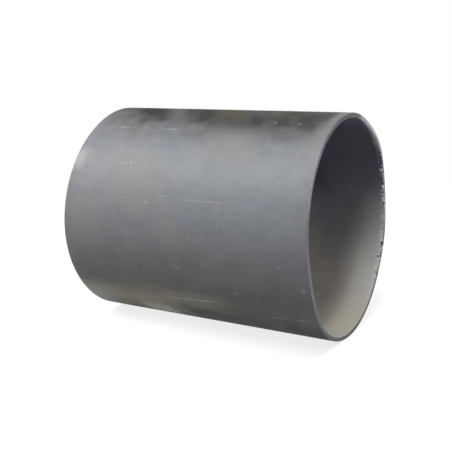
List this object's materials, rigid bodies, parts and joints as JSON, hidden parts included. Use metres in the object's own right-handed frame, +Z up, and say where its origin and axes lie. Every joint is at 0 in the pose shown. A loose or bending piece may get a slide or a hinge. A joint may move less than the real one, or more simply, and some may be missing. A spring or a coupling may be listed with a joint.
{
  "type": "pvc drain pipe",
  "caption": "Short plain-ended length of grey PVC drain pipe, sawn square, lying on its side to carry water through its open bore.",
  "frame": {"origin": "on the floor, under the middle of the pipe", "axes": "+X along the pipe's axis towards the end that faces the viewer, +Z up"},
  "size_m": [0.3, 0.25, 0.25],
  "materials": {
    "grey_pvc": "satin extruded grey, weathered and scuffed, with raw sawn ends"
  },
  "bodies": {
    "root": {"drain_pipe": "grey_pvc"}
  },
  "joints": []
}
